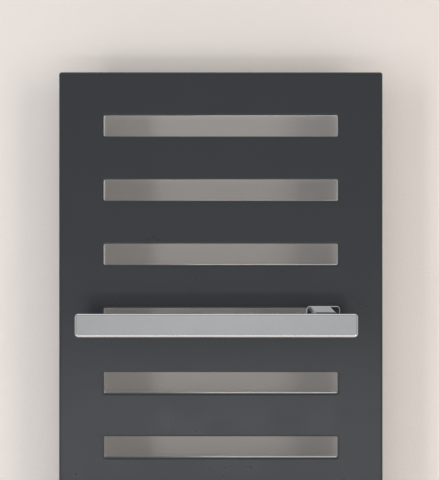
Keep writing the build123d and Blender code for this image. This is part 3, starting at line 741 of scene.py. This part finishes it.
def valve_block():
    """The plated block: rounded body, two stem recesses, two union stubs, two threaded tails.

    The front is a cell round each recess, and its border is carried round the body to the
    back. Stubs and tails are turned from profiles in millimetres.
    """
    low, high = (np.array(corner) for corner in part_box("valve_body"))
    stems = [middle("return_shutoff_stem"), middle("supply_shutoff_stem")]
    axis_y, port_z = middle("thermostat_nut")[1:]
    top = high[2] - STUB_LENGTH
    back = high[1] - TAIL_LENGTH
    width, depth, height = high[0] - low[0], back - low[1], top - low[2]
    face = np.array([(low[0] + high[0]) / 2, low[1], (low[2] + top) / 2])
    edge, strip, mouth = 3 * MM, 1 * MM, STEM_RECESS + 0.4 * MM
    half_width, half_height = width / 2 - edge - strip, height / 2 - edge - strip
    parting = (stems[0][0] + stems[1][0]) / 2 - face[0]
    sides = [(-half_width, parting), (parting, half_width)]
    recess = [[mouth, 0], [STEM_RECESS, STEM_RECESS - mouth], [STEM_RECESS, -3 * MM], [0, -3 * MM]]
    front, border = [], []
    for stem, (left, right) in zip(stems, sides):
        place = (stem[0] - face[0], stem[2] - face[2])
        cell, outer = hole_cell(
            2 * mouth, 2 * mouth, mouth, place, (left, -half_height), (right, half_height)
        )
        front += [cell, turned(recess, 32) + [*place, 0]]
        border.append(outer)
    arc = quarter()
    rim = [
        [0, 0, 0],
        [strip - HOLD, 0, 0],
        *np.insert(arc * [edge, -edge], 0, strip, axis=1),
        *np.insert((arc * [edge, edge] + [0, -depth])[::-1], 0, strip, axis=1),
        [strip - HOLD, 0, -depth],
    ]
    shell = plate_rim(np.concatenate(border), half_width, half_height, rim)
    grids = placed([*front, shell, spine_cap(shell[-1], (width - height) / 2)], face, TO_ROOM)
    union = [[0, -1], [13.2, -1], [13.2, 13.6], [12.8, 14], [0, 14]]
    crests = [[13.2, step] for step in np.arange(1, 13.81, 0.2)]
    tail = [[0, -1], [13.2, -1], *crests, [12.7, 14.5], [7.4, 14.5], [7, 14.1], [7, 1], [0, 0.2]]
    screwed = threaded(PIPE_THREAD, THREAD_DEPTH, start=1.2 * MM, end=16 * MM, inner=10 * MM)
    stub = turned(np.array(union) * MM, 64)
    thread = turned(np.array(tail) * MM, 72, screwed)
    for stem in stems:
        grids += placed([stub], (stem[0], axis_y, top), UPWARD)
        grids += placed([thread], (stem[0], back, port_z), TO_WALL)
    piece("valve_block", grids, nickel_plate, "radiator", ["valve_body"])


# ------------------------------------------------------------------ thermostatic head

WHEEL_RADIUS = 22.9 * MM
WHEEL_BAND = 8 * MM  # smooth band that carries the numbers
WHEEL_EDGE = 4 * MM
NUMBER_SIZE, NUMBER_STEP = 5.2 * MM, np.radians(27)
INK_LIFT, INK_THICKNESS = 0.05 * MM, 0.06 * MM
MARK_LENGTH, MARK_HEIGHT, MARK_SUNK = 4 * MM, 0.4 * MM, 0.1 * MM
MARK_ANGLE = 3 * PI / 4  # the setting mark faces up and to the room


def knurled_nut():
    """The ribbed nut that holds the head on: a turned ring with forty shallow ribs.

    The profile gives radius and height in millimetres.
    """
    y, z = middle("thermostat_nut")[1:]
    steps = [[17.9, height] for height in (0.5, 1.6, 2.2, 10.8, 11.4, 12.5)]
    inside = [[17.4, 13], [12.2, 13], [12.2, 11.3], [15.1, 11.3], [15.1, 0]]
    shape = np.array([[15.1, 0], [17.4, 0], *steps, *inside]) * MM
    ribs = fluted(40, 0.55 * MM, 1, 1.4 * MM, 11.6 * MM, inner=17 * MM, run_out=0.8 * MM)
    foot = (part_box("thermostat_nut")[0].x, y, z)
    grids = placed([turned(shape, 320, ribs)], foot, TO_RIGHT)
    piece("thermostat_nut_ribbed", grids, nickel_plate, "radiator", ["thermostat_nut"])


def handwheel():
    """The hollow grip: smooth number band, twenty run-out flutes, rounded and dished end.

    The profile runs up the outside, over a quarter round, across the dish and back inside.
    The flutes start at the band and run off the end.
    """
    node = "thermostat_handwheel"
    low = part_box(node)[0]
    length = size(node)[0]
    y, z = middle(node)[1:]
    reach = WHEEL_RADIUS
    lead = 0.5 * MM
    outer = [[reach - lead, 0], [reach, lead]]
    levels = np.linspace(2 * lead, length - WHEEL_EDGE - HOLD, 60)
    outer += [[reach, height] for height in levels]
    end = quarter(10)[::-1] * [WHEEL_EDGE, -WHEEL_EDGE] + [reach - WHEEL_EDGE, length]
    dish = np.array([[17, 0], [16.4, -0.15], [16, -0.5], [10, -0.62], [4, -0.68], [0, -0.7]]) * MM
    inside = [[0, 51.5], [20.4, 51.5], [20.4, 9], [15.1, 9], [15.1, 3], [20.4, 3], [20.4, 0]]
    shape = [outer, end, dish + [0, length], np.array(inside) * MM, outer[:1]]
    far = length + 20 * MM
    flutes = fluted(20, 1.0 * MM, 1.6, WHEEL_BAND, far, inner=18.5 * MM, run_out=5 * MM)
    grids = placed([turned(np.concatenate(shape), 320, flutes)], (low.x, y, z), TO_RIGHT)
    piece("handwheel_grip", grids, moulded_abs, "handwheel", [node])


def wrap(mesh, radius, along_x, angle):
    """Bends a flat drawing round the head's axis.

    Its width over the radius adds to the angle, and its height runs along the axis.
    """
    flat = np.empty(len(mesh.vertices) * 3)
    mesh.vertices.foreach_get("co", flat)
    across, along = flat.reshape(-1, 3)[:, :2].T
    turn = angle + across / radius
    y, z = middle("thermostat_handwheel")[1:]
    bent = [along_x + along, y + radius * np.cos(turn), z + radius * np.sin(turn)]
    mesh.vertices.foreach_set("co", np.stack(bent, -1).ravel())


def printed_numbers():
    """Numbers 1 to 5 round the smooth band, with a short stroke between each two.

    Each drawing is cut into strips 0.3 mm wide, so that it can bend round the band.
    """
    cuts = np.arange(-2.4, 2.41, 0.3) * MM
    band_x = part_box("thermostat_handwheel")[0].x + WHEEL_BAND / 2
    joined = bmesh.new()
    for index, character in enumerate("1-2-3-4-5"):
        drawing = bpy.data.curves.new("number", "FONT")
        drawing.body, drawing.size = character, NUMBER_SIZE
        drawing.align_x, drawing.align_y = "CENTER", "CENTER"
        holder = bpy.data.objects.new("number", drawing)
        flat = bpy.data.meshes.new_from_object(holder)
        bpy.data.objects.remove(holder)
        cut = bmesh.new()
        cut.from_mesh(flat)
        for step in cuts:
            parts = [*cut.verts, *cut.edges, *cut.faces]
            bmesh.ops.bisect_plane(cut, geom=parts, plane_co=(step, 0, 0), plane_no=(1, 0, 0))
        cut.to_mesh(flat)
        cut.free()
        angle = MARK_ANGLE + (index - 4) * NUMBER_STEP
        wrap(flat, WHEEL_RADIUS + INK_LIFT, band_x, angle)
        joined.from_mesh(flat)
        bpy.data.meshes.remove(flat)
    bmesh.ops.remove_doubles(joined, verts=joined.verts, dist=1e-6)
    mesh = bpy.data.meshes.new("handwheel_numbers")
    joined.to_mesh(mesh)
    joined.free()
    mesh.materials.append(printed_ink)
    made = bpy.data.objects.new("handwheel_numbers", mesh)
    bpy.context.scene.collection.objects.link(made)
    ink = made.modifiers.new("ink", "SOLIDIFY")
    ink.thickness, ink.offset = INK_THICKNESS, -1
    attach(made, "handwheel")


def setting_mark():
    """A raised pointer on the fixed ring: a half-round rib whose width tapers to a tip.

    Its radius is the ring's plus a fixed height times the root of one minus the square of
    the share across; the underside runs back at a steady radius.
    """
    low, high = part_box("thermostat_scale_ring")
    y, z = middle("thermostat_scale_ring")[1:]
    ring_radius = (high.z - low.z) / 2
    along = np.array([0, 0.02, 0.08, 0.2, 0.5, 0.85, 0.97, 1.0])
    half_width = np.array([0, 0.9, 1.5, 1.6, 1.1, 0.5, 0.3, 0]) * MM
    share = np.cos(np.linspace(0, PI, 13))
    share = np.concatenate([share, -share[1:-1], share[:1]])
    lift = np.sqrt(1 - share**2) * np.repeat([1, 0], [13, 12])
    turn = MARK_ANGLE + half_width[:, None] * share / ring_radius
    radius = ring_radius - MARK_SUNK + MARK_HEIGHT * lift * (half_width > 0)[:, None]
    run = low.x + 0.5 * MM + along[:, None] * MARK_LENGTH + 0 * turn
    grid = np.dstack([run, y + radius * np.cos(turn), z + radius * np.sin(turn)])
    piece("setting_mark", [grid], printed_ink, "radiator")


def coil(length, turns, radius, wire, steps=24):
    """A round wire wound on a helix about x, with flat ends closed at their middles.

    The centre runs evenly along x as its angle turns. The wire's circle lies between the
    outward direction and the one square to it and to the run.
    """
    turn = np.linspace(0, 2 * PI * turns, steps * turns + 1)
    outward = np.stack([0 * turn, np.sin(turn), -np.cos(turn)], -1)
    path = outward * radius
    path[:, 0] = wire / 2 + (length - wire) * turn / turn[-1]
    ahead = np.gradient(path, axis=0)
    square = np.cross(ahead / np.linalg.norm(ahead, axis=1, keepdims=True), outward)
    angle = np.linspace(0, 2 * PI, 13)[None, :, None]
    around = outward[:, None] * np.cos(angle) + square[:, None] * np.sin(angle)
    thick = np.concatenate([[0], np.full(len(turn), wire / 2), [0]])[:, None, None]
    path, around = (np.concatenate([part[:1], part, part[-1:]]) for part in (path, around))
    return path[:, None] + around * thick


def coil_springs():
    """The insert's spring and the head's relief spring, pressed together as the sensor moves."""
    windings = {"insert_spring": (5, 0.8 * MM), "thermostat_relief_spring": (4, 1.4 * MM)}
    for joint in frame["record"]["behaviour"]["joints"]:
        for pressed in joint.get("deforming_nodes", []):
            node = pressed["node"]
            turns, wire = windings[node]
            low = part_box(node)[0]
            length, across, _ = size(node)
            grid = coil(length, turns, (across - wire) / 2, wire) + [low.x, *middle(node)[1:]]
            name = node + "_coil"
            made = piece(name, [grid], spring_wire, "radiator", [node])
            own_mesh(made)


valve_block()
knurled_nut()
handwheel()
printed_numbers()
setting_mark()
coil_springs()


# ------------------------------------------------------------- room, light, camera


FLOOR_DROP = 0.2  # from the lowest point of the valve down to the floor
HALF_ROOM, ROOM_DEPTH, ROOM_TOP = 2.2, 3.5, 2.2


def room():
    """A pale painted wall behind the radiator and a pale floor under it.

    Both are seen from their room side only, so that the other sides of the object show. The
    wall is lit but throws no light or shadow of its own, so the back stays well lit too.
    """
    material, tree, shader, place = start("pale_emulsion_rolled")
    stipple = add(tree, "TexNoise", {"Vector": place, "Scale": 1 / (7 * MM), "Detail": 3.0})
    relief = add(tree, "Bump", {"Height": stipple.outputs["Fac"], "Distance": 0.5 * MM})
    shader.inputs["Base Color"].default_value = linear("#e9e4df")
    shader.inputs["Roughness"].default_value = 0.9
    tree.links.new(relief.outputs["Normal"], shader.inputs["Normal"])
    side = add(tree, "NewGeometry")
    clear = add(tree, "BsdfTransparent")
    shown = {1: shader.outputs["BSDF"], 2: clear.outputs["BSDF"]}
    one_sided = add(tree, "MixShader", {0: side.outputs["Backfacing"], **shown})
    output = tree.nodes["Material Output"]
    tree.links.new(one_sided.outputs["Shader"], output.inputs["Surface"])
    floor_z = cad_box[0].z - FLOOR_DROP
    back_left, back_right = (-HALF_ROOM, 0, floor_z), (HALF_ROOM, 0, floor_z)
    wall = [back_left, back_right, (HALF_ROOM, 0, ROOM_TOP), (-HALF_ROOM, 0, ROOM_TOP)]
    front = [(-HALF_ROOM, -ROOM_DEPTH, floor_z), (HALF_ROOM, -ROOM_DEPTH, floor_z)]
    floor = [*front, back_right, back_left]
    for name, corners in (("stage_wall", wall), ("stage_floor", floor)):
        mesh = bpy.data.meshes.new(name)
        mesh.from_pydata(corners, [], [(0, 1, 2, 3)])
        mesh.materials.append(material)
        made = bpy.data.objects.new(name, mesh)
        bpy.context.scene.collection.objects.link(made)
        if name == "stage_wall":
            made.visible_shadow = made.visible_diffuse = made.visible_glossy = False


def lamp(name, place, target, width, height, power, colour="#ffffff", mirrored=False):
    """A soft rectangular lamp that faces a target; a mirrored one also shows in gloss."""
    light = bpy.data.lights.new(name, "AREA")
    light.shape, light.size, light.size_y, light.energy = "RECTANGLE", width, height, power
    light.color = linear(colour)[:3]
    made = bpy.data.objects.new(name, light)
    made.location = place
    made.rotation_euler = (Vector(target) - Vector(place)).to_track_quat("-Z", "Y").to_euler()
    made.visible_glossy = mirrored
    bpy.context.scene.collection.objects.link(made)


VIEW_DISTANCE, VIEW_X, VIEW_Z = 1.65, -0.0025, 0.3785


def camera():
    """Level and square to the panel, looking at its upper part."""
    lens = bpy.data.cameras.new("camera")
    lens.sensor_width, lens.lens, lens.shift_y = 36, 66.88, -0.1008
    lens.clip_start, lens.clip_end = 0.05, 50
    made = bpy.data.objects.new("camera", lens)
    made.location = (VIEW_X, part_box("front_panel")[0].y - VIEW_DISTANCE, VIEW_Z)
    made.rotation_euler = (PI / 2, 0, 0)
    bpy.context.scene.collection.objects.link(made)
    bpy.context.scene.camera = made


BASE_GLOW = 0.075  # radiance the studio has in every direction


def surroundings():
    """The studio's own glow, by direction, where x is right, y to the wall and z up.

    It is a steady base plus four soft fields: overhead, to both sides, behind the wall and
    out in the room. Each is a share times a power of the direction's part along its axis.
    """
    world = bpy.data.worlds.new("studio_glow")
    world.use_nodes = True
    tree = world.node_tree
    direction = add(tree, "SeparateXYZ", {"Vector": add(tree, "TexCoord").outputs["Generated"]})
    x, y, z = direction.outputs
    sideways = add(tree, "Math", {0: x}, operation="ABSOLUTE").outputs[0]
    roomward = add(tree, "Math", {0: y, 1: -1.0}, operation="MULTIPLY").outputs[0]
    glow = BASE_GLOW
    fields = ((z, 4, 1.1), (sideways, 2, 0.5), (y, 1, 0.35), (roomward, 6, 0.52))
    for part, power, share in fields:
        facing = add(tree, "Math", {0: part, 1: 0.0}, operation="MAXIMUM").outputs[0]
        field = add(tree, "Math", {0: facing, 1: power}, operation="POWER").outputs[0]
        glow = add(tree, "Math", {0: field, 1: share, 2: glow}, operation="MULTIPLY_ADD").outputs[0]
    tree.links.new(glow, tree.nodes["Background"].inputs["Color"])
    bpy.context.scene.world = world


room()
surroundings()
lamp("left_strip", (-2.0, -1.9, 0.4), (0, 0, 0.4), 0.5, 2.6, 26.5, "#fcfaff")
lamp("right_strip", (2.0, -1.9, 0.4), (0, 0, 0.4), 1.0, 2.6, 26, "#fff4ea")
lamp("low_front", (0.0, -2.6, -1.2), (0, 0, 0.2), 3.0, 1.2, 41, "#f2f8ff", mirrored=True)
lamp("behind", (0.9, 2.4, 1.0), (0, 0, 0), 2.4, 2.4, 30, "#ffffff", mirrored=True)
camera()
bpy.context.scene.view_settings.view_transform = "Standard"
